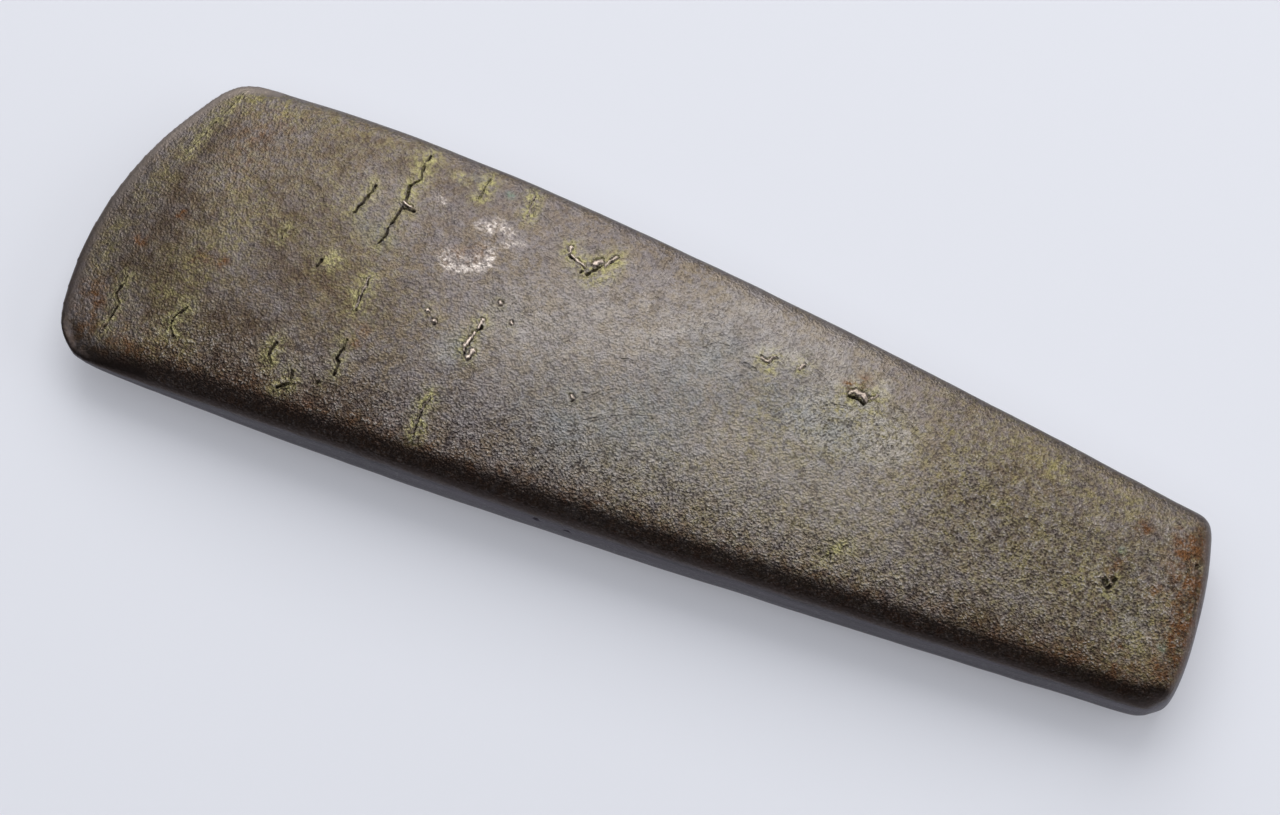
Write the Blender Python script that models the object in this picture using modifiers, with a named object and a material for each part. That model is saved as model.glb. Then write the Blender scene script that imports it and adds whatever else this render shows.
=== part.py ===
"""A flat copper axe head of the early metal age, lying on one of its two faces.

It is one piece, cast and then hammered. Lengths are in metres and +Z is up. +X runs from the
cutting edge to the butt and +Y to the far side. The origin lies under the middle of the head.
"""

import math

import bmesh
import bpy
from mathutils import Matrix, Vector

MM = 0.001

# The outline from above
LENGTH = 130.0 * MM  # from the middle of the cutting edge to the middle of the butt
BLADE_WIDTH = 37.7 * MM  # across the corners of the cutting edge
BUTT_WIDTH = 22.4 * MM  # across the corners of the butt
BLADE_LEAN = 6.3 * MM  # how much further the near corner of the blade reaches than the far one
BUTT_LEAN = 2.6 * MM  # the same for the butt's two corners
BLADE_BULGE = 4.9 * MM  # rise of the cutting edge over the line between its corners
BUTT_BULGE = 1.3 * MM
FAR_BULGE = 2.3 * MM
NEAR_BULGE = 0.9 * MM
SIDE_SKEW = 0.35  # how much fuller both sides are towards the blade
BLADE_FAR_RADIUS = 2.4 * MM
BLADE_NEAR_RADIUS = 4.1 * MM
BUTT_FAR_RADIUS = 1.2 * MM
BUTT_NEAR_RADIUS = 3.4 * MM

# The thickness along the head
THICKNESS = 12.0 * MM  # at its thickest
THICKEST_AT = 0.47  # share of the length, from the cutting edge
EDGE_THICKNESS = 1.0 * MM  # the worn cutting edge
WEDGE_FULLNESS = 4.0  # how soon the wedge swells behind the edge: 1 is a straight wedge
BUTT_THICKNESS = 9.4 * MM

# The faces and the flanks
TOP_CROWN = 1.4 * MM  # how far the upper face is domed across its width
UNDER_CROWN = 1.0 * MM
NEAR_ROLL_WIDTH = 3.2 * MM  # the near arris, rolled by hammering, measured across the face
NEAR_ROLL_DEPTH = 1.8 * MM  # the same, measured down the flank
FAR_ROLL_WIDTH = 2.0 * MM  # the far arris and the one round the butt are crisper
FAR_ROLL_DEPTH = 1.2 * MM
ROLL_SHARE = 0.55  # the most of a thin section's side that a roll takes
FLANK_SWELL = 0.35 * MM  # how far the middle of a flank stands out

# The two flats
REST_FLAT_DEPTH = 0.10 * MM  # taken off the underside where the head rests
BUTT_FLAT_DEPTH = 0.12 * MM  # taken off the butt where it was struck

# The coarse cage that is smoothed: where it is cut, as shares of the length, width and flank
LENGTH_CUTS = (0.018, 0.05, 0.11, 0.20, 0.33, 0.48, 0.64, 0.80, 0.92, 0.975, 0.991)
WIDTH_CUTS = (0.045, 0.12, 0.29, 0.50, 0.71, 0.87, 0.935, 0.97)
FLANK_CUTS = (0.5,)
SMOOTHING = 2  # levels of subdivision
CAGE_PASSES = 6  # rounds that push the cage out until the smoothed head has its true size

COPPER = (0.105, 0.082, 0.060, 1.0)  # dark brown-grey patina
ROUGHNESS = 0.55
METALLIC = 0.35


def clear_scene():
    for obj in list(bpy.data.objects):
        bpy.data.objects.remove(obj, do_unlink=True)


def new_collection(name):
    collection = bpy.data.collections.new(name)
    bpy.context.scene.collection.children.link(collection)
    return collection


def bowed(start, end, bulge, share, skew=0.0):
    """A point on the bow from start to end, which stands out by bulge on the right-hand side."""
    run = end - start
    outward = Vector((run.y, -run.x)).normalized()
    fullness = 1.0 + skew * (1.0 - 2.0 * share)
    return start + run * share + outward * (4.0 * bulge * share * (1.0 - share) * fullness)


def plan_point(along, across):
    """The place in plan at shares of the length, from the blade, and width, from the near side."""
    blade_x = BLADE_BULGE - LENGTH / 2
    butt_x = LENGTH / 2 - BUTT_BULGE
    near_blade = Vector((blade_x - BLADE_LEAN / 2, -BLADE_WIDTH / 2))
    far_blade = Vector((blade_x + BLADE_LEAN / 2, BLADE_WIDTH / 2))
    near_butt = Vector((butt_x + BUTT_LEAN / 2, -BUTT_WIDTH / 2))
    far_butt = Vector((butt_x - BUTT_LEAN / 2, BUTT_WIDTH / 2))
    near = bowed(near_blade, near_butt, NEAR_BULGE, along, SIDE_SKEW)
    far = bowed(far_blade, far_butt, -FAR_BULGE, along, SIDE_SKEW)
    blade = bowed(near_blade, far_blade, -BLADE_BULGE, across)
    butt = bowed(near_butt, far_butt, BUTT_BULGE, across)
    between_sides = near.lerp(far, across)
    between_ends = blade.lerp(butt, along)
    between_corners = near_blade.lerp(far_blade, across).lerp(near_butt.lerp(far_butt, across), along)
    return between_sides + between_ends - between_corners


def rounded(first, second, radius):
    """Where a point goes, given its distances from two sides, when their corner is rounded."""
    x = radius - first
    y = radius - second
    if x <= 0.0 or y <= 0.0:
        return first, second
    pull = max(x, y) / math.hypot(x, y)
    return radius - pull * x, radius - pull * y


def width_at(along):
    return BLADE_WIDTH + (BUTT_WIDTH - BLADE_WIDTH) * along


def round_the_corners(along, across):
    """Shares of length and width after the four corners of the outline are rounded."""
    width = width_at(along)
    from_blade = along * LENGTH
    from_near = across * width
    from_butt = LENGTH - from_blade
    from_far = width - from_near
    if along < 0.5 and across < 0.5:
        from_blade, from_near = rounded(from_blade, from_near, BLADE_NEAR_RADIUS)
    elif along < 0.5:
        from_blade, from_far = rounded(from_blade, from_far, BLADE_FAR_RADIUS)
        from_near = width - from_far
    elif across < 0.5:
        from_butt, from_near = rounded(from_butt, from_near, BUTT_NEAR_RADIUS)
        from_blade = LENGTH - from_butt
    else:
        from_butt, from_far = rounded(from_butt, from_far, BUTT_FAR_RADIUS)
        from_blade = LENGTH - from_butt
        from_near = width - from_far
    return from_blade / LENGTH, from_near / width


def half_thickness(along):
    """Half the thickness on the middle line: a wedge to the blade and a light taper to the butt."""
    if along < THICKEST_AT:
        short = 1.0 - along / THICKEST_AT
        return (THICKNESS - (THICKNESS - EDGE_THICKNESS) * short**WEDGE_FULLNESS) / 2
    past = (along - THICKEST_AT) / (1.0 - THICKEST_AT)
    return (THICKNESS - (THICKNESS - BUTT_THICKNESS) * past * past) / 2


def roll_drop(inset, width, depth):
    """How far the face has fallen at this distance in from the outline, on an elliptical roll."""
    if inset >= width:
        return 0.0
    out = 1.0 - inset / width
    return depth * (1.0 - math.sqrt(1.0 - out * out))


def arris_drop(along, across, side):
    """How far the rolled arrises lower the face here, where the section has this half height."""
    most = ROLL_SHARE * side
    from_near = across * width_at(along)
    from_far = (1.0 - across) * width_at(along)
    from_butt = (1.0 - along) * LENGTH
    near = roll_drop(from_near, NEAR_ROLL_WIDTH, min(NEAR_ROLL_DEPTH, most))
    far = roll_drop(min(from_far, from_butt), FAR_ROLL_WIDTH, min(FAR_ROLL_DEPTH, most))
    return max(near, far)


def head_point(along, across, up):
    """The place of a cage corner: shares of the length and width, and -1 to 1 through the flank."""
    middle = half_thickness(along)
    share = middle / (THICKNESS / 2)
    crown = (TOP_CROWN if up > 0.0 else UNDER_CROWN) * share
    drop = arris_drop(along, across, middle - crown)
    plan = plan_point(*round_the_corners(along, across))
    if abs(up) < 1.0:
        outward = (plan - plan_point(0.5, 0.5)).normalized()
        plan = plan + outward * FLANK_SWELL * share * (1.0 - up * up)
        height = up * (middle - crown - drop)
    elif along <= 0.0:
        height = math.copysign(middle, up)
    else:
        off_middle = 2.0 * across - 1.0
        face = middle - crown * off_middle * off_middle
        height = math.copysign(face - drop, up)
    return Vector((plan.x, plan.y, height))


def cut_block():
    """A cube cut into the rows and columns of the cage."""
    block = bmesh.new()
    bmesh.ops.create_cube(block, size=2.0)
    for axis, cuts in enumerate((LENGTH_CUTS, WIDTH_CUTS, FLANK_CUTS)):
        normal = Vector((0.0, 0.0, 0.0))
        normal[axis] = 1.0
        for share in cuts:
            geometry = block.verts[:] + block.edges[:] + block.faces[:]
            place = normal * (2.0 * share - 1.0)
            bmesh.ops.bisect_plane(block, geom=geometry, dist=1e-6, plane_co=place, plane_no=normal)
    return block


def smoothed_place(corner):
    """Where a corner of the cage ends up when the cage is smoothed without end."""
    count = len(corner.link_edges)
    place = corner.co * count * count
    for edge in corner.link_edges:
        place += 4.0 * edge.other_vert(corner).co
    for loop in corner.link_loops:
        place += loop.link_loop_next.link_loop_next.vert.co
    return place / (count * (count + 5))


def shaped_cage():
    """The cage, pushed out so that the smoothed head passes through its named sizes."""
    cage = cut_block()
    wanted = []
    for corner in cage.verts:
        along, across, up = corner.co
        wanted.append(head_point((along + 1.0) / 2, (across + 1.0) / 2, up))
    for corner, place in zip(cage.verts, wanted):
        corner.co = place
    for _ in range(CAGE_PASSES):
        moves = [place - smoothed_place(corner) for corner, place in zip(cage.verts, wanted)]
        for corner, move in zip(cage.verts, moves):
            corner.co += move
    return cage


def finished_places(obj):
    """The vertices of the object as its modifiers leave it."""
    graph = bpy.context.evaluated_depsgraph_get()
    evaluated = obj.evaluated_get(graph)
    places = [vertex.co.copy() for vertex in evaluated.to_mesh().vertices]
    evaluated.to_mesh_clear()
    return places


def reach(places, direction):
    """How far the places go from the origin in this direction."""
    return max(place.dot(direction) for place in places)


def place_on_floor(head):
    """Moves the head so that, once its rest is cut, it is centred over the origin on z = 0."""
    places = finished_places(head)
    forward = Vector((1.0, 0.0, 0.0))
    far = Vector((0.0, 1.0, 0.0))
    down = Vector((0.0, 0.0, -1.0))
    off_x = (reach(places, forward) - reach(places, -forward)) / 2
    off_y = (reach(places, far) - reach(places, -far)) / 2
    lift = reach(places, down) - REST_FLAT_DEPTH
    head.data.transform(Matrix.Translation((-off_x, -off_y, lift)))


def copper_patina():
    material = bpy.data.materials.new("copper_patina")
    material.use_nodes = True
    shader = material.node_tree.nodes["Principled BSDF"]
    shader.inputs["Base Color"].default_value = COPPER
    shader.inputs["Roughness"].default_value = ROUGHNESS
    shader.inputs["Metallic"].default_value = METALLIC
    return material


def flat_cutter(name, outward, distance, collection):
    """A block whose inner face lies square to outward, this far from the origin."""
    shape = bmesh.new()
    bmesh.ops.create_cube(shape, size=2.0 * LENGTH)
    mesh = bpy.data.meshes.new(name)
    shape.to_mesh(mesh)
    shape.free()
    cutter = bpy.data.objects.new(name, mesh)
    cutter.location = outward * (distance + LENGTH)
    cutter.rotation_euler = outward.to_track_quat("X", "Z").to_euler()
    cutter.hide_render = True
    cutter.display_type = "WIRE"
    collection.objects.link(cutter)
    return cutter


def cut_flat(head, cutter):
    cut = head.modifiers.new(cutter.name, "BOOLEAN")
    cut.operation = "DIFFERENCE"
    cut.solver = "EXACT"
    cut.object = cutter


def make_axe_head(parts, cutters):
    cage = shaped_cage()
    mesh = bpy.data.meshes.new("axe_head")
    cage.to_mesh(mesh)
    cage.free()
    mesh.materials.append(copper_patina())
    mesh.shade_smooth()
    head = bpy.data.objects.new("axe_head", mesh)
    parts.objects.link(head)
    smooth = head.modifiers.new("smooth", "SUBSURF")
    smooth.levels = SMOOTHING
    smooth.render_levels = SMOOTHING
    place_on_floor(head)
    down = Vector((0.0, 0.0, -1.0))
    behind = Vector((BUTT_WIDTH, BUTT_LEAN, 0.0)).normalized()
    butt_reach = reach(finished_places(head), behind)
    cut_flat(head, flat_cutter("rest_cutter", down, 0.0, cutters))
    cut_flat(head, flat_cutter("butt_cutter", behind, butt_reach - BUTT_FLAT_DEPTH, cutters))
    return head


def main():
    clear_scene()
    parts = new_collection("copper_axe_head")
    cutters = new_collection("cutters")
    make_axe_head(parts, cutters)


main()
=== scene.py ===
"""The finish of a flat copper axe head: its cast and hammered skin, its fissures and its patina.

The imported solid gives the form, and a finer skin is grown on it. What shows on the upper face is
placed by pixels of the 1280 by 815 photograph, cast down the camera's sight lines onto the skin.
Lengths are in metres unless a comment says otherwise.
"""

import math
from collections import namedtuple

import bmesh
import bpy
import numpy as np
from mathutils import Matrix, Vector, noise
from mathutils.bvhtree import BVHTree
from mathutils.kdtree import KDTree


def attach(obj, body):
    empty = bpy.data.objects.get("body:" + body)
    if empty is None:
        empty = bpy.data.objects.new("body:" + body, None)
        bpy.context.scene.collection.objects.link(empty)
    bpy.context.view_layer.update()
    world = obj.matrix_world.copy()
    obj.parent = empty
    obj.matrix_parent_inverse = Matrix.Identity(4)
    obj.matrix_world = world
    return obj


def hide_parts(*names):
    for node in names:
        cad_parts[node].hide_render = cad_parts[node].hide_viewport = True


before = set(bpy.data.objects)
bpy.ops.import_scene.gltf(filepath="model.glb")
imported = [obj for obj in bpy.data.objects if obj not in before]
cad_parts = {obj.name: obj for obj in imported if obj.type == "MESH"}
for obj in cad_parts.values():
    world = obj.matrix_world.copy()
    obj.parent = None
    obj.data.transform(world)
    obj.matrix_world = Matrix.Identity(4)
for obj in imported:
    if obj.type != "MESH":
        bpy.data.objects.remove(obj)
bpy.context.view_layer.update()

MM = 0.001

# The camera of the photograph
PHOTO_WIDTH = 1280
PHOTO_HEIGHT = 815
FOCAL_PIXELS = 4058.3
SENSOR_MM = 36.0
CAMERA_TILT = math.radians(72.0)  # below the horizon
CAMERA_TURN = math.radians(22.50)
CAMERA_DISTANCE = 0.45
CAMERA_AIM = Vector((-0.51, -0.24, 6.0)) * MM

# The skin's fineness
JOIN_GAP = 0.001 * MM  # corners of the solid's triangles nearer than this are one
SKIN_CELL = 0.35 * MM
SMOOTH_PASSES = 4
UNDERSIDE_SHARE = 0.23  # of the triangles away from the upper face that are kept
FINE_REACHES = (0.8 * MM, 0.35 * MM)  # round each fissure the skin is halved once within each

# The skin's relief
HAMMER_SIZE = 9.0 * MM  # broad, shallow hammer marks
HAMMER_HEIGHT = 0.07 * MM
LUMP_SIZE = 1.3 * MM
LUMP_HEIGHT = 0.035 * MM
RAGGED_SIZE = 0.6 * MM  # of the kinks in a fissure's sides
RAGGED_REACH = 0.13 * MM
LIP_HEIGHT = 0.05 * MM  # beside the fissures
BEAD_RISE = 0.16 * MM  # of the beads of metal that stand in some fissures
BEAD_SHARE = 0.72  # of a fissure's width that its bead fills
UNDERCUT_SHIFT = 1.2  # how far to its near side a bead is undercut and given a painted shadow, in half widths
UNDERCUT_REACH = 0.6  # also in half widths
UNDERCUT_DEPTH = 0.12 * MM
FULL_SHADE_DEPTH = 0.16 * MM  # a shallower fissure gets less painted shade inside
HALO_REACH = 1.0 * MM  # of the stained metal beside the fissures and pits
PIT_HALO = 0.3  # how strongly it is stained beside a pit
GRAIN_HEIGHT = 0.18 * MM  # of the bump that carries the finest grain
GRAINS_PER_METRE = 3100.0

# The smooth rim round the upper face
OUTLINE_STEEPNESS = 0.25  # where a normal rises less than this the skin is the head's outline
BLADE_RIM = 1.1 * MM  # the worn strip behind the cutting edge
BUTT_RIM = 0.7 * MM
SIDE_RIM = 0.5 * MM
BLADE_REACH = -52.0 * MM  # nearer the cutting edge than this the rim is the blade's
BUTT_REACH = 60.0 * MM  # beyond this the rim is the butt's
SHEENLESS_RIM_SIDE = -15.0 * MM  # how far across the head the blade's rim starts to be lightened by a painted sheen
SHEEN_RIM_SIDE = 10.0 * MM

# The patina
CLOUDS_PER_METRE = 160.0  # broad drifts of the two ground colours
NOISE_ROUGHNESS = 0.65  # how strongly each finer layer of a noise counts
FLANK_STREAKS = (90.0, 90.0, 1400.0)  # how many streaks a metre holds each way
METALNESS = 0.9
ROUGH_GRAIN = 0.44  # roughness between the grain's tops
ROUGH_TOPS = 0.34
BEAD_POLISH = 0.14  # how much less rough a bead of metal is

# Fissures of the casting, by pixels from end to end: width and depth in mm, how strongly the
# corrosion has stained the metal beside them, and how much of a bead of metal stands in them
Fissure = namedtuple("Fissure", "points width depth halo bead")
FISSURES = {
    "blade corner line": Fissure(((246, 91), (224, 113), (207, 131), (187, 152)), 0.22, 0.12, 0.5, 0.0),
    "blade split": Fissure(
        ((127, 277), (122, 286), (115, 295), (119, 303), (103, 330)), 0.26, 0.20, 0.6, 0.0
    ),
    "blade fork": Fissure(((187, 307), (173, 318), (170, 326), (173, 336)), 0.26, 0.20, 0.9, 0.0),
    "small far nick": Fissure(((288, 227), (281, 238)), 0.20, 0.12, 0.5, 0.0),
    "straight cut": Fissure(((376, 186), (370, 194), (365, 200), (354, 212)), 0.30, 0.28, 0.6, 0.0),
    "long split, head": Fissure(((432, 156), (425, 163), (422, 174), (421, 180)), 0.24, 0.16, 1.0, 0.0),
    "long split, middle": Fissure(((421, 180), (410, 185), (408, 190), (407, 200)), 0.30, 0.28, 1.0, 0.0),
    "long split, flake": Fissure(((404, 202), (410, 207)), 0.55, 0.30, 0.6, 1.0),
    # a trench under the flake, painted dark as its shadow
    "under the flake": Fissure(((402, 208), (414, 211)), 0.30, 0.35, 0.3, 0.0),
    "long split, foot": Fissure(
        ((403, 206), (394, 221), (388, 228), (386, 236), (377, 244)), 0.30, 0.28, 0.5, 0.0
    ),
    "lip by the lime patch": Fissure(((324, 257), (316, 267)), 0.26, 0.20, 0.3, 0.0),
    "middle split": Fissure(((369, 277), (365, 287), (361, 294), (356, 308)), 0.34, 0.22, 0.8, 0.4),
    "near wavy split": Fissure(((347, 340), (337, 359), (339, 362), (334, 375)), 0.28, 0.24, 0.5, 0.0),
    "near hook": Fissure(((277, 342), (269, 354), (271, 364)), 0.30, 0.26, 1.0, 0.0),
    "near elbow": Fissure(((292, 371), (291, 383), (276, 388)), 0.30, 0.26, 0.8, 0.0),
    "far scratch": Fissure(((490, 180), (485, 188), (482, 194), (479, 198)), 0.22, 0.16, 0.9, 0.0),
    "far cleft": Fissure(((535, 196), (532, 205), (528, 216)), 0.30, 0.24, 1.0, 0.3),
    "bright split": Fissure(((483, 320), (477, 330), (465, 346), (464, 351)), 0.58, 0.26, 0.8, 1.0),
    "bright split, foot": Fissure(((473, 351), (467, 358)), 0.62, 0.26, 0.6, 1.0),
    "near split": Fissure(
        ((431, 396), (424, 406), (420, 414), (416, 425), (413, 438)), 0.30, 0.24, 1.0, 0.25
    ),
    "worm, left": Fissure(((571, 248), (570, 253), (576, 260), (584, 266)), 0.52, 0.30, 1.0, 0.7),
    "worm, middle": Fissure(((594, 264), (600, 262)), 0.95, 0.32, 1.0, 0.6),
    # a trench under the worm's bead, painted dark as its shadow
    "worm, underside": Fissure(((587, 275), (595, 270), (602, 266)), 0.34, 0.36, 1.0, 0.0),
    "worm, right": Fissure(((605, 266), (611, 261), (617, 257)), 0.44, 0.30, 1.0, 0.5),
    "far pit": Fissure(((762, 358), (768, 361), (775, 357)), 0.50, 0.30, 0.8, 0.5),
    "far pit, second": Fissure(((800, 368), (805, 364)), 0.42, 0.26, 0.6, 0.5),
    "great pit": Fissure(((849, 393), (855, 391), (863, 395), (866, 400)), 0.85, 0.36, 1.0, 0.5),
    # a trench under the great pit's bead, painted dark as its shadow
    "great pit, underside": Fissure(((847, 396), (858, 399), (864, 404)), 0.34, 0.40, 0.8, 0.0),
    "great pit, tail": Fissure(((870, 399), (876, 397), (878, 395)), 0.40, 0.28, 0.8, 0.35),
    "twin pit, left": Fissure(((1101, 578), (1105, 583)), 0.80, 0.36, 0.4, 0.0),
    "twin pit, right": Fissure(((1109, 587), (1112, 583), (1114, 580)), 0.62, 0.34, 0.4, 0.0),
    "wrinkle at the ringed pit": Fissure(
        ((583, 393), (596, 394), (606, 391), (616, 389)), 0.20, 0.05, 0.0, 0.0
    ),
    "wrinkle below it": Fissure(((579, 422), (600, 417), (625, 415), (652, 416)), 0.17, 0.03, 0.0, 0.0),
    "wrinkle, middle": Fissure(((616, 357), (625, 359), (634, 361)), 0.18, 0.05, 0.0, 0.0),
    "wrinkle, far": Fissure(((707, 345), (718, 343), (729, 347)), 0.17, 0.03, 0.0, 0.0),
    "wrinkle, beyond": Fissure(((719, 380), (729, 377), (741, 376)), 0.20, 0.04, 0.0, 0.0),
    "wrinkle at the slate": Fissure(((742, 361), (749, 365), (756, 369)), 0.18, 0.08, 0.0, 0.0),
    "wrinkle by the great pit": Fissure(
        ((818, 408), (832, 404), (846, 407), (860, 406)), 0.18, 0.08, 0.0, 0.0
    ),
    "scar": Fissure(((822, 558), (836, 552), (848, 545)), 0.24, 0.10, 0.5, 0.0),
    "wrinkle at the butt rim": Fissure(((1190, 577), (1186, 563), (1196, 556)), 0.24, 0.07, 0.0, 0.0),
    "groove of the butt rim": Fissure(((1201, 560), (1197, 590), (1194, 618)), 0.60, 0.06, 0.0, 0.0),
}

# Round pits, by pixel: radius and depth in mm, and how much of a bead stands in them
Pit = namedtuple("Pit", "centre radius depth bead")
PITS = {
    "bead, left": Pit((427, 310), 0.34, 0.22, 1.0),
    "bead, right": Pit((434, 321), 0.38, 0.26, 1.0),
    "bright pit": Pit((500, 303), 0.42, 0.26, 1.0),
    "lone pit": Pit((511, 323), 0.34, 0.24, 0.9),
    "pale-ringed pit": Pit((572, 397), 0.42, 0.26, 1.0),
    "near pit": Pit((318, 382), 0.24, 0.20, 0.0),
    "small pit by the worm": Pit((581, 272), 0.22, 0.20, 0.0),
    "bead in the twin pit": Pit((1102, 577), 0.24, 0.10, 2.0),
    "second bead in the twin pit": Pit((1111, 583), 0.24, 0.10, 1.8),
    "rusty pit": Pit((1080, 578), 0.20, 0.18, 0.4),
    "butt rim hole": Pit((1198, 567), 0.35, 0.25, 0.0),
    "butt rim hole, far": Pit((1180, 522), 0.30, 0.20, 0.3),
    "flank pit, left": Pit((536, 519), 0.40, 0.25, 0.0),
    "flank pit, right": Pit((566, 531), 0.34, 0.20, 0.0),
}

# Shallow dents and lost chips, by pixels along the middle of each: reach and depth in mm
Dent = namedtuple("Dent", "points reach depth")
DENTS = {
    "scar": Dent(((822, 557), (846, 545)), 0.6, 0.09),
    "chip of the near blade corner": Dent(((69, 326), (74, 342)), 0.9, 0.30),
    "second chip": Dent(((84, 352), (88, 356)), 0.7, 0.20),
    "notch by the far blade corner": Dent(((265, 92), (270, 95)), 0.5, 0.16),
    "worn butt": Dent(((1200, 606), (1198, 616)), 0.8, 0.16),
}

# Stains, by pixels along the middle of each: reach to both sides in mm, and strength
Stain = namedtuple("Stain", "points reach strength")
STAINS = {
    "olive": {
        "along the blade": Stain(((240, 100), (205, 128), (185, 152)), 1.6, 0.5),
        "along the blade, middle": Stain(((165, 175), (145, 195)), 1.8, 0.5),
        "along the blade, near": Stain(((118, 225), (98, 265)), 1.6, 0.5),
        "behind the blade": Stain(((240, 175), (250, 215), (170, 290)), 4.0, 0.5),
        "far corner": Stain(((250, 100), (290, 112)), 2.6, 0.7),
        "far edge": Stain(((300, 112), (430, 165)), 2.0, 0.4),
        "near blade corner": Stain(((135, 345), (180, 340)), 3.0, 0.5),
        "middle haze": Stain(((330, 170), (360, 300)), 6.0, 0.3),
        "round the great pit": Stain(((845, 410), (885, 430)), 3.0, 0.6),
        "beyond the middle": Stain(((760, 430), (850, 440)), 5.0, 0.4),
        "butt half": Stain(((960, 480), (1130, 620)), 12.0, 0.5),
        "butt end": Stain(((1150, 620), (1130, 650)), 4.0, 0.8),
        "butt, far side": Stain(((1020, 450), (1130, 510)), 3.0, 0.6),
        "middle, near side": Stain(((660, 500), (900, 560)), 8.0, 0.35),
    },
    "lime": {
        "beside the lip": Stain(((334, 259), (330, 262)), 1.0, 1.0),
        "by the far scratch": Stain(((494, 184), (486, 197)), 0.6, 0.9),
        "far spot": Stain(((459, 176), (467, 180)), 0.6, 1.0),
        "by the near split": Stain(((424, 418), (421, 434)), 0.6, 1.0),
        "head of the long split": Stain(((424, 160), (420, 172)), 0.9, 0.9),
        "below the worm": Stain(((588, 280), (606, 276)), 0.9, 0.9),
        "right of the worm": Stain(((608, 272), (620, 262)), 0.8, 0.7),
        "by the middle split": Stain(((354, 293), (356, 296)), 0.6, 1.0),
        "below the far pit": Stain(((766, 369), (770, 371)), 0.7, 0.9),
        "by the great pit": Stain(((880, 400), (872, 408)), 0.8, 0.7),
        "by the twin pit": Stain(((1104, 592), (1110, 595)), 0.6, 0.7),
        "on the scar": Stain(((828, 554), (846, 544)), 0.6, 1.3),
    },
    "pale": {
        "middle": Stain(((530, 330), (700, 340)), 7.0, 0.55),
        "middle, near side": Stain(((600, 430), (860, 500)), 7.0, 0.45),
        "far side": Stain(((730, 310), (850, 365)), 4.0, 0.5),
        "beyond the great pit": Stain(((820, 420), (885, 440)), 3.2, 1.7),
        "round the far pits": Stain(((765, 350), (800, 360)), 2.0, 0.7),
        "round the great pit": Stain(((838, 384), (880, 388)), 1.5, 0.9),
        "by the bright split": Stain(((440, 352), (462, 335)), 1.4, 0.6),
        "butt": Stain(((1120, 640), (1140, 630)), 2.5, 0.5),
    },
    "slate": {
        "middle": Stain(((560, 420), (650, 420), (720, 370)), 5.0, 0.7),
        "beyond the middle": Stain(((780, 400), (830, 430)), 4.5, 0.7),
        "by the bright split": Stain(((458, 345), (450, 352)), 1.6, 0.8),
        "under the straight cut": Stain(((358, 218), (385, 240)), 1.6, 0.5),
        "by the twin pit": Stain(((1118, 598), (1126, 608)), 1.4, 0.6),
        "far edge": Stain(((476, 178), (486, 182)), 0.6, 0.8),
    },
    "umber": {
        "blade half": Stain(((165, 225), (175, 320), (250, 350)), 7.0, 0.8),
        "band behind the blade": Stain(((225, 135), (180, 180), (155, 225), (125, 270)), 2.6, 0.7),
        "before the middle": Stain(((290, 220), (330, 300)), 7.0, 0.75),
        "before the middle, far": Stain(((330, 150), (310, 200)), 5.0, 0.5),
        "blade's near side": Stain(((150, 370), (240, 398), (340, 430)), 5.0, 1.2),
        "far edge": Stain(((330, 130), (480, 190)), 2.5, 0.5),
        "butt": Stain(((1050, 500), (1150, 640)), 12.0, 0.4),
        "butt, near side": Stain(((980, 638), (1140, 685)), 4.0, 1.0),
        "butt rim": Stain(((1201, 540), (1197, 600), (1180, 660)), 1.6, 1.3),
        "near edge": Stain(((400, 455), (700, 565), (1000, 658)), 2.6, 0.8),
    },
    "russet": {
        "near edge": Stain(((110, 360), (380, 453), (700, 560), (1000, 655), (1150, 692)), 2.8, 0.8),
        "near blade corner": Stain(((95, 300), (92, 335), (130, 355)), 3.2, 0.6),
        "butt rim": Stain(((1192, 545), (1188, 620), (1168, 680)), 2.2, 1.1),
        "butt rust": Stain(((1194, 558), (1182, 550)), 0.8, 1.4),
        "butt, near corner": Stain(((1145, 690), (1160, 670)), 1.6, 0.8),
        "blade speck": Stain(((182, 214), (184, 213)), 0.45, 2.6),
        "blade speck, lower": Stain(((140, 240), (141, 241)), 0.7, 1.3),
        "blade smear": Stain(((200, 257), (222, 262)), 0.9, 0.6),
        "smear by the wavy split": Stain(((362, 332), (354, 343)), 0.7, 0.9),
        "far corner": Stain(((270, 125), (240, 160)), 3.0, 0.35),
        "over the great pit": Stain(((850, 387), (866, 384)), 0.9, 1.0),
        "over the twin pit": Stain(((1112, 568), (1118, 560)), 1.0, 0.7),
        "butt streak": Stain(((1106, 608), (1108, 616)), 0.6, 1.0),
        "butt fleck": Stain(((1155, 590), (1160, 586)), 0.9, 0.7),
        "butt fleck, near": Stain(((1116, 640), (1118, 646)), 0.7, 0.8),
        "butt fleck, far": Stain(((1142, 528), (1146, 530)), 0.8, 0.7),
        "inside the scuff": Stain(((450, 256), (480, 252)), 1.2, 0.4),
    },
    "chalk": {
        "great scuff": Stain(
            ((443, 256), (447, 264), (457, 269), (477, 267), (488, 263), (492, 252)), 0.55, 0.9
        ),
        "great scuff, far side": Stain(((450, 250), (470, 262), (487, 248)), 0.5, 0.35),
        "small scuff": Stain(((481, 225), (491, 229), (499, 223), (511, 234)), 0.5, 0.9),
        "faint scuff": Stain(((505, 245), (523, 245)), 0.4, 0.5),
        "on the long split": Stain(((438, 197), (446, 203)), 0.3, 0.7),
    },
    "verdigris": {
        "far teal spot": Stain(((510, 195), (512, 196)), 0.35, 0.9),
        "butt spot": Stain(((1122, 551), (1123, 552)), 0.4, 0.7),
        "butt spot, near": Stain(((1161, 647), (1162, 648)), 0.4, 0.7),
    },
    "coarse": {
        "near half": Stain(((180, 370), (540, 470), (860, 590), (1080, 640)), 6.0, 0.9),
        "beyond the great pit": Stain(((820, 425), (890, 440)), 4.0, 0.6),
        "butt": Stain(((980, 520), (1150, 610)), 9.0, 0.9),
    },
}


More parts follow.
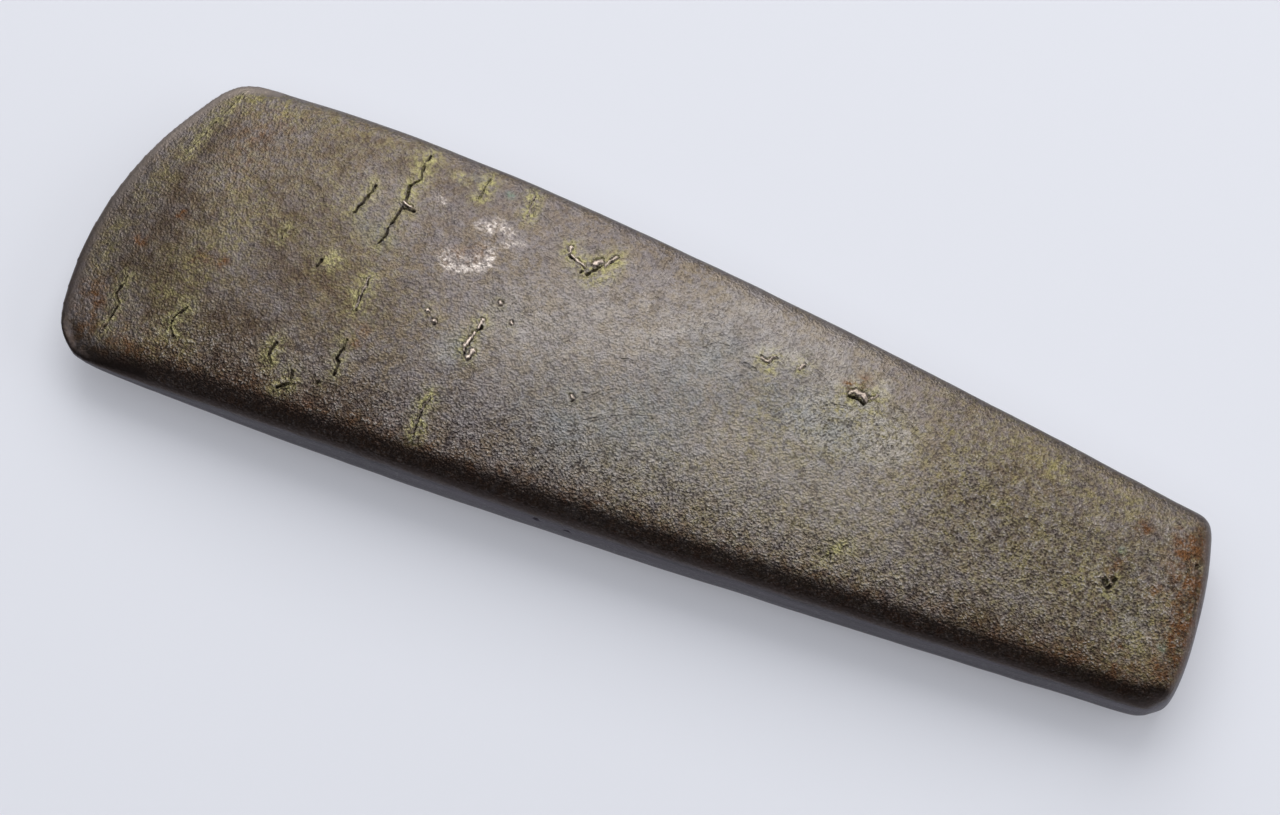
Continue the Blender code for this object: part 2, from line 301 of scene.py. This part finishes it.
def camera_axes():
    """The camera's right, up and forward directions."""
    right = Vector((math.cos(CAMERA_TURN), math.sin(CAMERA_TURN), 0.0))
    ahead = Vector((-math.sin(CAMERA_TURN), math.cos(CAMERA_TURN), 0.0))
    down = Vector((0.0, 0.0, -1.0))
    forward = ahead * math.cos(CAMERA_TILT) + down * math.sin(CAMERA_TILT)
    return right, right.cross(forward), forward


RIGHT, CAMERA_UP, FORWARD = camera_axes()
CAMERA_PLACE = CAMERA_AIM - FORWARD * CAMERA_DISTANCE
FARWARD = np.array(CAMERA_UP)  # up in the photograph, away from its near edge


def sight_line(pixel):
    """The direction in which the camera sees a pixel of the photograph."""
    across = (pixel[0] - PHOTO_WIDTH / 2) / FOCAL_PIXELS
    down = (pixel[1] - PHOTO_HEIGHT / 2) / FOCAL_PIXELS
    return (FORWARD + RIGHT * across - CAMERA_UP * down).normalized()


def on_the_skin(pixels, surface):
    """The places on the skin that the camera sees at these pixels."""
    places = []
    for pixel in pixels:
        place = surface.ray_cast(CAMERA_PLACE, sight_line(pixel))[0]
        if place is None:
            raise ValueError(f"pixel {pixel} lies off the head")
        places.append(np.array(place))
    return places


def away_from_line(places, points):
    """How far each place is from the line through the points."""
    nearest = np.full(len(places), np.inf)
    for start, end in zip(points, points[1:]):
        run = end - start
        share = np.clip((places - start) @ run / (run @ run), 0.0, 1.0)
        gap = np.linalg.norm(places - start - share[:, None] * run, axis=1)
        nearest = np.minimum(nearest, gap)
    return nearest


def away_from_point(places, point):
    return np.linalg.norm(places - point, axis=1)


def away_from_outline(places, normals):
    """How far each place is from the head's outline, seen from above."""
    sides = np.nonzero(np.abs(normals[:, 2]) < OUTLINE_STEEPNESS)[0]
    outline = KDTree(len(sides))
    for index in sides:
        outline.insert((places[index][0], places[index][1], 0.0), int(index))
    outline.balance()
    return np.array([outline.find((place[0], place[1], 0.0))[2] for place in places])


def rise(values, low, high):
    """A smooth step from 0 at low to 1 at high."""
    share = np.clip((values - low) / (high - low), 0.0, 1.0)
    return share * share * (3.0 - 2.0 * share)


def unevenness(places, size, seed, octaves=1):
    """Smooth noise between about -1 and 1, whose lumps are about this size."""
    shift = Vector((seed, 2.0 * seed, 3.0 * seed))
    return np.array([noise.fractal(Vector(place) / size + shift, 1.0, 2.0, octaves) for place in places])


def wandering(places, size, reach, seeds, octaves=1):
    """The places shifted at random, so that what is measured from them comes out ragged."""
    shifts = [unevenness(places, size, seed, octaves) for seed in seeds]
    return places + np.stack(shifts, axis=1) * reach


def places_of(mesh):
    flat = np.empty(len(mesh.vertices) * 3)
    mesh.vertices.foreach_get("co", flat)
    return flat.reshape(-1, 3)


def normals_of(mesh):
    flat = np.empty(len(mesh.vertices) * 3)
    mesh.vertices.foreach_get("normal", flat)
    return flat.reshape(-1, 3)


def apply_modifiers(obj):
    """Leaves the object with the mesh that its modifiers make, and without them."""
    graph = bpy.context.evaluated_depsgraph_get()
    mesh = bpy.data.meshes.new_from_object(obj.evaluated_get(graph))
    old = obj.data
    obj.modifiers.clear()
    obj.data = mesh
    bpy.data.meshes.remove(old)


def joined_copy(solid, name):
    """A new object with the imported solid's surface, its loose triangles joined up."""
    joined = bmesh.new()
    joined.from_mesh(solid.data)
    bmesh.ops.remove_doubles(joined, verts=joined.verts, dist=JOIN_GAP)
    mesh = bpy.data.meshes.new(name)
    joined.to_mesh(mesh)
    joined.free()
    copy = bpy.data.objects.new(name, mesh)
    bpy.context.scene.collection.objects.link(copy)
    return copy


def grow_even_skin(head):
    """Turns the solid's facets into a smooth surface of small, even cells."""
    facets = head.modifiers.new("facets", "SUBSURF")
    facets.levels = 1
    facets.render_levels = 1
    cells = head.modifiers.new("cells", "REMESH")
    cells.mode = "VOXEL"
    cells.voxel_size = SKIN_CELL
    smooth = head.modifiers.new("smooth", "SMOOTH")
    smooth.iterations = SMOOTH_PASSES
    apply_modifiers(head)


def thin_the_underside(head):
    """Takes triangles away where the head is plainer, below and on the far flank."""
    upward = normals_of(head.data)[:, 2]
    plain = head.vertex_groups.new(name="plain")
    weights = 1.0 - rise(upward, -0.3, 0.1)
    for index in np.nonzero(weights > 0.0)[0]:
        plain.add([int(index)], float(weights[index]), "REPLACE")
    plain_share = float((weights > 0.5).mean())
    thinner = head.modifiers.new("thinner", "DECIMATE")
    thinner.vertex_group = plain.name
    thinner.ratio = 1.0 - plain_share * (1.0 - UNDERSIDE_SHARE)
    apply_modifiers(head)
    head.vertex_groups.clear()


def cast_features(head):
    """Where the fissures, pits, dents and stains lie on the skin."""
    shape = bmesh.new()
    shape.from_mesh(head.data)
    surface = BVHTree.FromBMesh(shape)
    shape.free()
    lines = {name: on_the_skin(fissure.points, surface) for name, fissure in FISSURES.items()}
    pits = {name: on_the_skin([pit.centre], surface)[0] for name, pit in PITS.items()}
    dents = {name: on_the_skin(dent.points, surface) for name, dent in DENTS.items()}
    stains = {
        kind: {name: on_the_skin(stain.points, surface) for name, stain in group.items()}
        for kind, group in STAINS.items()
    }
    return lines, pits, dents, stains


def refine_near(head, lines, pits):
    """Halves the skin's edges round each fissure and pit, so that they come out crisp."""
    shape = bmesh.new()
    shape.from_mesh(head.data)
    bmesh.ops.triangulate(shape, faces=shape.faces)
    for fine_reach in FINE_REACHES:
        shape.verts.ensure_lookup_table()
        places = np.array([vertex.co for vertex in shape.verts])
        near = np.zeros(len(places), bool)
        for name, line in lines.items():
            near |= away_from_line(places, line) < fine_reach + FISSURES[name].width * MM / 2
        for name, pit in pits.items():
            near |= away_from_point(places, pit) < fine_reach / 2 + PITS[name].radius * MM
        edges = [edge for edge in shape.edges if near[edge.verts[0].index] or near[edge.verts[1].index]]
        bmesh.ops.subdivide_edges(shape, edges=edges, cuts=1)
        bmesh.ops.triangulate(shape, faces=shape.faces)
        shape.verts.index_update()
    shape.to_mesh(head.data)
    shape.free()


def opened(gap, half, depth, bead):
    """The height of the skin across a fissure or pit, and how far it is open or filled."""
    share = np.clip(gap / half, 0.0, 1.0)
    trench = -depth * (1.0 - share**2) ** 0.8
    if bead <= 0.0:
        return trench, rise(1.0 - share, 0.1, 0.6), np.zeros(len(gap))
    across = np.clip(gap / (BEAD_SHARE * half), 0.0, 1.0)
    filled = np.sqrt(1.0 - across**2)
    return trench + (depth + bead * BEAD_RISE) * filled, rise(1.0 - share, 0.05, 0.3), rise(filled, 0.1, 0.6)


def open_fissures(places, lines, pits):
    """The height of the skin at the fissures and pits, and the masks of their parts."""
    ragged = wandering(places, RAGGED_SIZE, RAGGED_REACH, (3.1, 7.7, 9.3), 3)
    width_noise = np.clip(1.0 + 0.9 * unevenness(places, RAGGED_SIZE, 5.3), 0.4, 1.6)
    openings = []
    for name, line in lines.items():
        fissure = FISSURES[name]
        half = fissure.width * MM / 2 * width_noise
        openings.append((away_from_line, line, half, fissure.depth * MM, fissure.bead, fissure.halo))
    for name, centre in pits.items():
        pit = PITS[name]
        half = pit.radius * MM * np.ones(len(places))
        openings.append((away_from_point, centre, half, pit.depth * MM, pit.bead, PIT_HALO))
    masks = {name: np.zeros(len(places)) for name in ("cut", "bead height", "lip", "opening_painted_shade", "bead", "halo")}
    under = np.zeros(len(places))
    for away, target, half, depth, bead, halo in openings:
        gap = away(ragged, target)
        height, opening_painted_shade, filled = opened(gap, half, depth, bead)
        # painted shade inside the opening, less in a shallow fissure
        opening_painted_shade = opening_painted_shade * min(1.0, depth / FULL_SHADE_DEPTH)
        masks["cut"] = np.minimum(masks["cut"], height)
        masks["bead height"] = np.maximum(masks["bead height"], np.where(filled > 0.0, height, 0.0))
        lip = LIP_HEIGHT * np.exp(-(((gap - 1.6 * half) / (0.7 * half)) ** 2))
        masks["lip"] = np.maximum(masks["lip"], lip)
        masks["opening_painted_shade"] = np.maximum(masks["opening_painted_shade"], opening_painted_shade)
        masks["bead"] = np.maximum(masks["bead"], filled * min(1.0, bead))
        masks["halo"] = np.maximum(masks["halo"], halo * np.exp(-((gap / HALO_REACH) ** 2)))
        # painted shadow: under each bead, on its near side, the skin is cut deeper and painted dark
        if bead > 0.0:
            below = away(ragged + UNDERCUT_SHIFT * half[:, None] * FARWARD, target)
            under = np.maximum(under, rise(1.0 - below / (UNDERCUT_REACH * half), 0.0, 0.5))
    # the painted shade inside is broken into patches; under each bead the painted shadow is full and hides
    # the bead's bare metal
    darkness = np.clip(0.8 + 0.7 * unevenness(places, 1.2 * MM, 2.9), 0.35, 1.0)
    masks["opening_painted_shade"] = np.maximum(masks["opening_painted_shade"] * darkness, under)
    masks["bead"] = masks["bead"] * (1.0 - under)
    masks["cut"] = masks["cut"] - UNDERCUT_DEPTH * under
    return masks


def line_mask(places, group, casts):
    """How strongly each place carries one kind of stain or dent."""
    mask = np.zeros(len(places))
    for name, stain in group.items():
        gap = away_from_line(places, casts[name]) / (stain.reach * MM)
        mask = np.maximum(mask, stain.strength * np.exp(-gap * gap))
    return mask


def dent_depths(places, dents):
    depth = np.zeros(len(places))
    ragged = wandering(places, 1.2 * MM, 0.3 * MM, (1.3, 4.7, 6.9), 2)
    for name, dent in DENTS.items():
        gap = away_from_line(ragged, dents[name]) / (dent.reach * MM)
        depth = np.maximum(depth, dent.depth * MM * np.exp(-gap * gap))
    return depth


def keep_mask(mesh, name, values):
    """Stores one number for each vertex, for the material to read."""
    layer = mesh.attributes.new(name, "FLOAT", "POINT")
    layer.data.foreach_set("value", values.astype(np.float32))


def shape_the_skin(head, lines, pits, dents, stains):
    """Moves the skin in and out, and stores the masks of its fissures and stains, and of the painted shade
    and painted sheen on its edges.
    """
    mesh = head.data
    places = places_of(mesh)
    normals = normals_of(mesh)
    upper = rise(normals[:, 2], 0.15, 0.45)
    rim_width = np.where(places[:, 0] < BLADE_REACH, BLADE_RIM, SIDE_RIM)
    rim_width = np.where(places[:, 0] > BUTT_REACH, BUTT_RIM, rim_width)
    rim_width = rim_width * (1.0 + 0.4 * unevenness(places, 4.0 * MM, 8.3, 2))
    inset = away_from_outline(places, normals) / rim_width
    rim = (1.0 - rise(inset, 0.6, 1.4)) * upper
    flank = 1.0 - rise(np.abs(normals[:, 2]), 0.10, 0.40)
    # painted shade: the rounded near arris, turned towards the camera's side, is darkened in colour
    near_arris_painted_shade = rise(-normals[:, 1], 0.15, 0.50) * rise(normals[:, 2], 0.15, 0.40)
    granular = (1.0 - rim) * rise(np.abs(normals[:, 2]), 0.30, 0.65)
    openings = open_fissures(places, lines, pits)
    hammered = HAMMER_HEIGHT * unevenness(places, HAMMER_SIZE, 1.7, 2)
    coarse = line_mask(places, STAINS["coarse"], stains["coarse"]) * upper
    lumps = LUMP_HEIGHT * unevenness(places, LUMP_SIZE, 6.1, 3) * (0.3 + 0.5 * granular + 0.5 * coarse)
    height = hammered + lumps + openings["lip"] * upper - dent_depths(places, dents)
    height = height + openings["cut"] + openings["bead height"]
    places = places + normals * height[:, None]
    mesh.vertices.foreach_set("co", places.ravel())
    keep_mask(mesh, "granular", granular)
    keep_mask(mesh, "rim", rim)
    # painted sheen on the blade's rim, growing towards the far side
    painted_sheen_share = rise(places[:, 1], SHEENLESS_RIM_SIDE, SHEEN_RIM_SIDE)
    keep_mask(mesh, "blade_rim_painted_sheen", np.where(places[:, 0] < BLADE_REACH, rim * painted_sheen_share, 0.0))
    keep_mask(mesh, "flank", flank)
    keep_mask(mesh, "near_arris_painted_shade", near_arris_painted_shade)
    keep_mask(mesh, "opening_painted_shade", openings["opening_painted_shade"])
    keep_mask(mesh, "bead", openings["bead"])
    for kind, group in STAINS.items():
        mask = line_mask(places, group, stains[kind])
        if kind == "lime":
            mask = np.maximum(mask, openings["halo"])
        keep_mask(mesh, kind, mask * upper)
    mesh.update()


def node(tree, kind, values=None, **settings):
    """Adds a node, makes its settings and gives its sockets values or links."""
    made = tree.nodes.new(kind)
    for name, setting in settings.items():
        setattr(made, name, setting)
    for name, value in (values or {}).items():
        if isinstance(value, bpy.types.NodeSocket):
            tree.links.new(value, made.inputs[name])
        else:
            made.inputs[name].default_value = value
    return made


def place_group(tree, group, values):
    """The group as a node in this tree, with its sockets given values or links."""
    return node(tree, "ShaderNodeGroup", values, node_tree=group)


def mask_of(tree, name):
    return node(tree, "ShaderNodeAttribute", attribute_name=name).outputs["Fac"]


def calculated(tree, operation, first, second=0.0, third=0.0, clamp=False):
    """The output of a Math node."""
    made = node(tree, "ShaderNodeMath", {0: first, 1: second, 2: third}, operation=operation, use_clamp=clamp)
    return made.outputs[0]


def mapped(tree, value, low, high, start=0.0, end=1.0):
    """The value's place between low and high, stretched from start to end."""
    values = {"Value": value, "From Min": low, "From Max": high, "To Min": start, "To Max": end}
    return node(tree, "ShaderNodeMapRange", values, clamp=True).outputs["Result"]


def coloured(tree, share, under, over):
    """The under colour with this share of the over colour on it."""
    made = node(tree, "ShaderNodeMix", {0: share, 6: under, 7: over}, data_type="RGBA")
    return made.outputs[2]


def new_group(name, inputs, outputs):
    """An empty shader node group, with its input and output nodes."""
    group = bpy.data.node_groups.new(name, "ShaderNodeTree")
    for label, kind, start in inputs:
        socket = group.interface.new_socket(label, in_out="INPUT", socket_type=kind)
        if start is not None:
            socket.default_value = start
    for label, kind in outputs:
        group.interface.new_socket(label, in_out="OUTPUT", socket_type=kind)
    return group, group.nodes.new("NodeGroupInput"), group.nodes.new("NodeGroupOutput")


def grain_group():
    """The grain of the cast skin: its height, its tops and hollows, and two patterns for its colours."""
    inputs = (("Position", "NodeSocketVector", None), ("Grains per metre", "NodeSocketFloat", 3000.0))
    labels = ("Height", "Top", "Hollow", "Wrinkle", "First colours", "Second colours")
    group, given, result = new_group("cast_grain", inputs, [(label, "NodeSocketFloat") for label in labels])
    position = given.outputs["Position"]

    def pattern(share, shift, detail):
        """Noise with this many lumps for each grain along a line, shifted away from the other noise."""
        place = node(group, "ShaderNodeVectorMath", {0: position, 1: (shift, shift, shift)}, operation="ADD")
        scale = calculated(group, "MULTIPLY", given.outputs["Grains per metre"], share)
        values = {"Vector": place.outputs[0], "Scale": scale, "Detail": detail, "Roughness": NOISE_ROUGHNESS}
        return node(group, "ShaderNodeTexNoise", values).outputs["Fac"]

    values = {"Vector": position, "Scale": given.outputs["Grains per metre"], "Smoothness": 0.4}
    pebbles = node(group, "ShaderNodeTexVoronoi", values, feature="SMOOTH_F1")
    height = calculated(group, "MULTIPLY_ADD", pebbles.outputs["Distance"], -0.6, pattern(1.3, 0.0, 1.0))
    height = calculated(group, "MULTIPLY_ADD", pattern(0.35, 1.0, 2.0), 0.9, height)
    group.links.new(mapped(group, height, 0.72, 1.02), result.inputs["Top"])
    group.links.new(mapped(group, height, 0.60, 0.42), result.inputs["Hollow"])
    crease = calculated(group, "ABSOLUTE", calculated(group, "SUBTRACT", pattern(0.1, 4.0, 4.0), 0.5))
    few = mapped(group, pattern(0.07, 5.0, 1.0), 0.52, 0.60)
    wrinkle = calculated(group, "MULTIPLY", mapped(group, crease, 0.018, 0.004), few)
    group.links.new(wrinkle, result.inputs["Wrinkle"])
    group.links.new(calculated(group, "MULTIPLY_ADD", wrinkle, -0.25, height), result.inputs["Height"])
    group.links.new(mapped(group, pattern(0.5, 2.0, 2.0), 0.36, 0.64), result.inputs["First colours"])
    group.links.new(mapped(group, pattern(0.3, 3.0, 3.0), 0.36, 0.64), result.inputs["Second colours"])
    return group


def broken_group():
    """A soft mask broken up into blotches, as a stain lies on a rough skin."""
    inputs = (
        ("Position", "NodeSocketVector", None),
        ("Mask", "NodeSocketFloat", 0.0),
        ("Blotches per metre", "NodeSocketFloat", 700.0),
        ("Raggedness", "NodeSocketFloat", 0.8),
    )
    group, given, result = new_group("broken_stain", inputs, (("Mask", "NodeSocketFloat"),))
    position = given.outputs["Position"]
    scale = given.outputs["Blotches per metre"]
    mask = given.outputs["Mask"]
    values = {"Vector": position, "Scale": scale, "Detail": 4.0, "Roughness": NOISE_ROUGHNESS}
    blotches = node(group, "ShaderNodeTexNoise", values)
    centred = calculated(group, "SUBTRACT", blotches.outputs["Fac"], 0.5)
    ragged = calculated(group, "MULTIPLY", centred, given.outputs["Raggedness"])
    stretched = calculated(group, "MULTIPLY", ragged, 4.0)
    covered = calculated(group, "MULTIPLY_ADD", stretched, mask, mask)
    group.links.new(calculated(group, "MAXIMUM", covered, 0.0, clamp=True), result.inputs["Mask"])
    return group


def colour(red, green, blue):
    """A colour for a shader, from its screen values of 0 to 255."""
    linear = []
    for level in (red, green, blue):
        share = level / 255
        linear.append(share / 12.92 if share <= 0.04045 else ((share + 0.055) / 1.055) ** 2.4)
    return (*linear, 1.0)


LILAC = colour(104, 98, 101)
TAN = colour(105, 94, 83)
GRAIN_PAINTED_HIGHLIGHT = colour(152, 147, 143)
OLIVE = colour(122, 114, 78)
LIME = colour(141, 135, 95)
ASH = colour(158, 154, 150)
SLATE = colour(102, 109, 114)
UMBER = colour(61, 46, 35)
RUST = colour(90, 60, 36)
CHALK = colour(188, 179, 173)
VERDIGRIS = colour(92, 122, 104)
HOLLOW_PAINTED_SHADE = colour(44, 36, 34)
SMOOTH_RIM = colour(92, 82, 80)
BLADE_RIM_PAINTED_SHEEN = colour(134, 124, 117)
ARRIS_PAINTED_SHADE = colour(34, 28, 28)
FLANK_DARK = colour(60, 56, 62)
FLANK_LIGHT = colour(80, 75, 83)
FISSURE_PAINTED_SHADE = colour(26, 20, 17)
BARE_METAL = colour(204, 188, 176)


def old_copper():
    """Dull brown-grey copper under a granular patina with olive, rust and slate stains."""
    material = bpy.data.materials.new("old_copper")
    material.use_nodes = True
    tree = material.node_tree
    shader = tree.nodes["Principled BSDF"]
    position = node(tree, "ShaderNodeTexCoord").outputs["Object"]
    grain = place_group(tree, grain_group(), {"Position": position, "Grains per metre": GRAINS_PER_METRE})
    broken = broken_group()

    def stain(name, blotches, raggedness, strength, everywhere=0.0):
        """The share of the surface that a stain covers, broken up into blotches."""
        mask = calculated(tree, "MULTIPLY_ADD", mask_of(tree, name), strength, everywhere)
        values = {"Position": position, "Mask": mask, "Blotches per metre": blotches}
        return place_group(tree, broken, {**values, "Raggedness": raggedness}).outputs["Mask"]

    def patches_of(share, pattern):
        """The share, gathered into the patches of one of the grain's patterns."""
        favour = mapped(tree, grain.outputs[pattern], 0.2, 0.8, 0.35, 1.65)
        return calculated(tree, "MULTIPLY", share, favour, clamp=True)

    def weaker(share, strength):
        return calculated(tree, "MULTIPLY", share, strength)

    top = grain.outputs["Top"]
    hollow = grain.outputs["Hollow"]
    granular = mask_of(tree, "granular")
    coarse = mask_of(tree, "coarse")
    bead = mask_of(tree, "bead")
    values = {"Vector": position, "Scale": CLOUDS_PER_METRE, "Detail": 5.0, "Roughness": NOISE_ROUGHNESS}
    cloud = node(tree, "ShaderNodeTexNoise", values)
    clouds = mapped(tree, cloud.outputs["Fac"], 0.38, 0.62)
    tan_share = calculated(tree, "MULTIPLY_ADD", clouds, 0.5, 0.25)
    base = coloured(tree, patches_of(tan_share, "Second colours"), LILAC, TAN)
    base = coloured(tree, weaker(stain("pale", 500.0, 0.7, 1.0), 0.6), base, ASH)
    base = coloured(tree, weaker(stain("slate", 400.0, 0.9, 1.0), 0.5), base, SLATE)
    base = coloured(tree, weaker(stain("umber", 280.0, 1.1, 1.0), 0.8), base, UMBER)
    base = coloured(tree, patches_of(stain("olive", 600.0, 0.9, 0.5, 0.06), "First colours"), base, OLIVE)
    base = coloured(tree, patches_of(stain("russet", 500.0, 1.0, 0.6, 0.03), "Second colours"), base, RUST)
    base = coloured(tree, patches_of(stain("lime", 1500.0, 0.8, 0.6), "First colours"), base, LIME)
    base = coloured(tree, weaker(stain("verdigris", 2000.0, 1.2, 1.0), 0.6), base, VERDIGRIS)
    # painted highlight: the grain's tops are lightened in colour, more in the coarse patches
    tops = calculated(tree, "MULTIPLY", top, mapped(tree, coarse, 0.0, 1.0, 0.12, 0.6))
    base = coloured(tree, tops, base, GRAIN_PAINTED_HIGHLIGHT)
    base = coloured(tree, patches_of(stain("chalk", 2500.0, 1.7, 0.6), "First colours"), base, CHALK)
    # painted shade: the grain's hollows and the fine wrinkles are darkened in colour
    hollows = calculated(tree, "MULTIPLY", hollow, mapped(tree, coarse, 0.0, 1.0, 0.35, 0.8))
    base = coloured(tree, hollows, base, HOLLOW_PAINTED_SHADE)
    wrinkles = calculated(tree, "MULTIPLY", grain.outputs["Wrinkle"], granular)
    base = coloured(tree, weaker(wrinkles, 0.25), base, HOLLOW_PAINTED_SHADE)
    base = coloured(tree, weaker(mask_of(tree, "rim"), 0.6), base, SMOOTH_RIM)
    # painted sheen: the blade's rim is lightened in colour towards the far side
    base = coloured(tree, weaker(mask_of(tree, "blade_rim_painted_sheen"), 0.7), base, BLADE_RIM_PAINTED_SHEEN)
    stretched = node(tree, "ShaderNodeVectorMath", {0: position, 1: FLANK_STREAKS}, operation="MULTIPLY")
    values = {"Vector": stretched.outputs[0], "Scale": 1.0, "Detail": 3.0}
    streaks = node(tree, "ShaderNodeTexNoise", values)
    flank = coloured(tree, mapped(tree, streaks.outputs["Fac"], 0.35, 0.65), FLANK_DARK, FLANK_LIGHT)
    base = coloured(tree, mask_of(tree, "flank"), base, flank)
    near_arris_painted_shade = mask_of(tree, "near_arris_painted_shade")
    # painted shade on the near arris: brown in patches, then darkened towards black
    base = coloured(tree, patches_of(weaker(near_arris_painted_shade, 0.35), "First colours"), base, UMBER)
    base = coloured(tree, weaker(near_arris_painted_shade, 0.68), base, ARRIS_PAINTED_SHADE)
    # painted shade inside the fissures and pits, and painted shadow under their beads
    base = coloured(tree, mask_of(tree, "opening_painted_shade"), base, FISSURE_PAINTED_SHADE)
    # painted shade in the hollows of the bare metal beads
    metal = coloured(tree, weaker(hollow, 0.4), BARE_METAL, HOLLOW_PAINTED_SHADE)
    base = coloured(tree, bead, base, metal)
    tree.links.new(base, shader.inputs["Base Color"])
    rough = mapped(tree, top, 0.0, 1.0, ROUGH_GRAIN, ROUGH_TOPS)
    polished = calculated(tree, "MULTIPLY_ADD", bead, -BEAD_POLISH, rough)
    tree.links.new(polished, shader.inputs["Roughness"])
    shader.inputs["Metallic"].default_value = METALNESS
    relief = mapped(tree, coarse, 0.0, 1.0, 0.5, 1.0)
    strength = calculated(tree, "MULTIPLY", relief, mapped(tree, granular, 0.0, 1.0, 0.3, 1.0))
    smoother = calculated(tree, "MULTIPLY", strength, mapped(tree, bead, 0.0, 1.0, 1.0, 0.3))
    values = {"Height": grain.outputs["Height"], "Strength": smoother, "Distance": GRAIN_HEIGHT}
    bump = node(tree, "ShaderNodeBump", values)
    tree.links.new(bump.outputs["Normal"], shader.inputs["Normal"])
    return material


FLOOR_SIZE = 4.0
FLOOR_GLOW = 0.30  # light that the pale floor passes on from within, which softens the shadow


def pale_floor():
    material = bpy.data.materials.new("pale_floor")
    material.use_nodes = True
    shader = material.node_tree.nodes["Principled BSDF"]
    shader.inputs["Base Color"].default_value = colour(190, 192, 199)
    shader.inputs["Roughness"].default_value = 0.9
    shader.inputs["Emission Color"].default_value = colour(226, 227, 236)
    shader.inputs["Emission Strength"].default_value = FLOOR_GLOW
    return material


def make_head():
    head = joined_copy(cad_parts["axe_head"], "head_skin")
    grow_even_skin(head)
    thin_the_underside(head)
    lines, pits, dents, stains = cast_features(head)
    refine_near(head, lines, pits)
    shape_the_skin(head, lines, pits, dents, stains)
    head.data.materials.clear()
    head.data.materials.append(old_copper())
    head.data.shade_smooth()
    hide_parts("axe_head")
    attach(head, "root")


def make_floor():
    shape = bmesh.new()
    bmesh.ops.create_grid(shape, x_segments=1, y_segments=1, size=FLOOR_SIZE / 2)
    mesh = bpy.data.meshes.new("floor")
    shape.to_mesh(mesh)
    shape.free()
    mesh.materials.append(pale_floor())
    floor = bpy.data.objects.new("floor", mesh)
    bpy.context.scene.collection.objects.link(floor)


# Azimuth and elevation in degrees, distance and size in metres, power in watts, and tint
LIGHTS = {
    "key": (-10.0, 50.0, 1.0, 0.9, 6.6, (1.0, 0.99, 0.97)),
    "overhead": (50.0, 80.0, 0.9, 1.4, 5.6, (0.95, 0.975, 1.0)),
    "left": (-90.0, 25.0, 1.0, 0.9, 4.2, (1.0, 1.0, 1.0)),
    "back": (10.0, 12.0, 1.2, 1.2, 5.0, (1.0, 1.0, 1.0)),
}
ROOM_LIGHT = 0.03  # how strongly the pale room lights the head
ROOM_SEEN = 0.9  # how bright the camera sees it


def soft_light(name, azimuth, elevation, distance, size, power, tint):
    """A square soft light that faces the head from a compass direction of the photograph."""
    turn = CAMERA_TURN + math.radians(azimuth)
    tilt = math.radians(elevation)
    outward = Vector((-math.sin(turn) * math.cos(tilt), math.cos(turn) * math.cos(tilt), math.sin(tilt)))
    data = bpy.data.lights.new(name, "AREA")
    data.shape = "SQUARE"
    data.size = size
    data.energy = power
    data.color = tint
    lamp = bpy.data.objects.new(name, data)
    lamp.location = outward * distance
    lamp.rotation_euler = outward.to_track_quat("Z", "Y").to_euler()
    bpy.context.scene.collection.objects.link(lamp)


def light_the_scene():
    """A broad light high behind, one overhead, weak ones low at the left and back, a pale room."""
    for name, settings in LIGHTS.items():
        soft_light(name, *settings)
    world = bpy.data.worlds.new("pale_room")
    world.use_nodes = True
    tree = world.node_tree
    background = tree.nodes["Background"]
    background.inputs["Color"].default_value = colour(214, 218, 228)
    seen = node(tree, "ShaderNodeLightPath").outputs["Is Camera Ray"]
    strength = mapped(tree, seen, 0.0, 1.0, ROOM_LIGHT, ROOM_SEEN)
    tree.links.new(strength, background.inputs["Strength"])
    bpy.context.scene.world = world


def make_camera():
    data = bpy.data.cameras.new("photo_camera")
    data.sensor_width = SENSOR_MM
    data.lens = FOCAL_PIXELS * SENSOR_MM / PHOTO_WIDTH
    camera = bpy.data.objects.new("photo_camera", data)
    axes = Matrix((RIGHT, CAMERA_UP, -FORWARD)).transposed()
    camera.matrix_world = Matrix.Translation(CAMERA_PLACE) @ axes.to_4x4()
    bpy.context.scene.collection.objects.link(camera)
    bpy.context.scene.camera = camera


bpy.context.scene.view_settings.view_transform = "Standard"
make_head()
make_floor()
light_the_scene()
make_camera()
